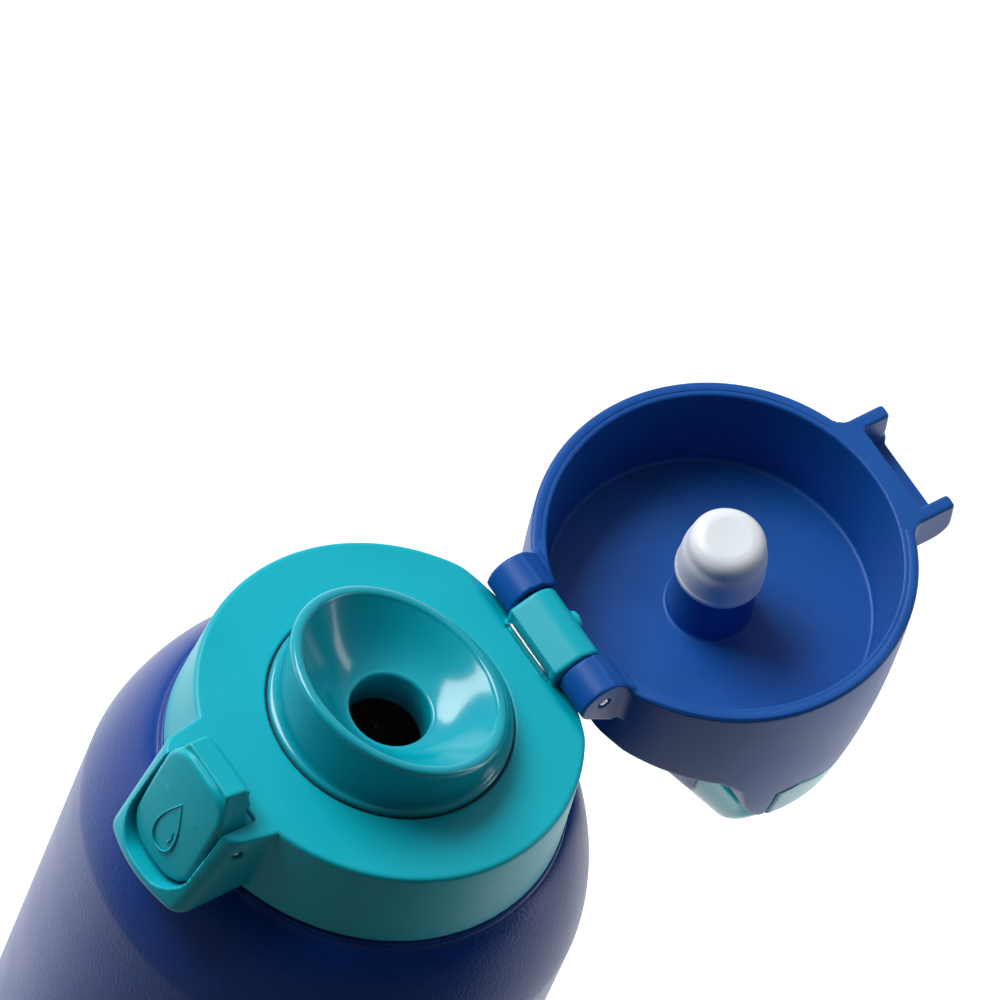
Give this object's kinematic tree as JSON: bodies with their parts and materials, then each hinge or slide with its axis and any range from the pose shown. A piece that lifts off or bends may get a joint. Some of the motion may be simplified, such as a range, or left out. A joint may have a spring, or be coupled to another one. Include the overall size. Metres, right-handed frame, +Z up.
{
  "type": "large insulated water jug",
  "caption": "Round double-walled jug with screw lid, drinking spout and push-button flip cap that carries a stopper and an arched carry handle.",
  "frame": {"origin": "centre of the jug's underside, on the surface it stands on", "axes": "+Z up along the jug's axis; +X from the push button to the cap hinge; +Y completes a right-handed frame along the hinge pin"},
  "size_m": [0.2139, 0.1206, 0.2827],
  "materials": {
    "body_blue": "satin powder coat",
    "steel": "brushed",
    "black_rubber": "matte",
    "white_silicone": "soft satin",
    "collar_teal": "fine grain",
    "liner_white": "moulded",
    "spout_teal": "gloss",
    "cap_blue": "fine grain",
    "cover_teal": "satin"
  },
  "bodies": {
    "jug": {"outer_shell": "body_blue", "inner_flask": "steel", "base_cup": "steel", "getter_capsule": "steel", "foot_pad": "black_rubber"},
    "seal": {"neck_seal": "white_silicone"},
    "lid": {"lid_collar": "collar_teal", "lid_liner": "liner_white", "spout": "spout_teal", "spout_seal": "black_rubber", "hinge_pin": "steel", "hinge_spring": "steel", "latch_pin": "steel", "latch_spring": "steel"},
    "latch": {"latch_lever": "collar_teal"},
    "cap": {"cap_shell": "cap_blue", "cap_cover": "cover_teal", "handle_leg": "cap_blue", "handle_pins": "steel", "stopper": "white_silicone"}
  },
  "joints": [
    {"name": "lid_lift", "type": "slide", "parent": "jug", "child": "seal", "axis": [0, 0, 1], "range_m": [0, 0.012]},
    {"name": "lid_turn", "type": "hinge", "parent": "seal", "child": "lid", "pos_m": [0, 0, 0.25], "axis": [0, 0, 1], "range_deg": [0, 720]},
    {"name": "cap_open", "type": "hinge", "parent": "lid", "child": "cap", "pos_m": [0.0469, 0, 0.2631], "axis": [0, 1, 0], "range_deg": [-173, 0], "stiffness_Nm_per_rad": 0.02, "springref_deg": 11.46},
    {"name": "latch_press", "type": "hinge", "parent": "lid", "child": "latch", "pos_m": [-0.0514, 0, 0.2562], "axis": [0, 1, 0], "range_deg": [-9, 0], "stiffness_Nm_per_rad": 0.2, "springref_deg": 5.73}
  ],
  "couplings": [
    {"joint": "lid_lift", "follows": "lid_turn", "m_per_rad": 0.00095493}
  ]
}
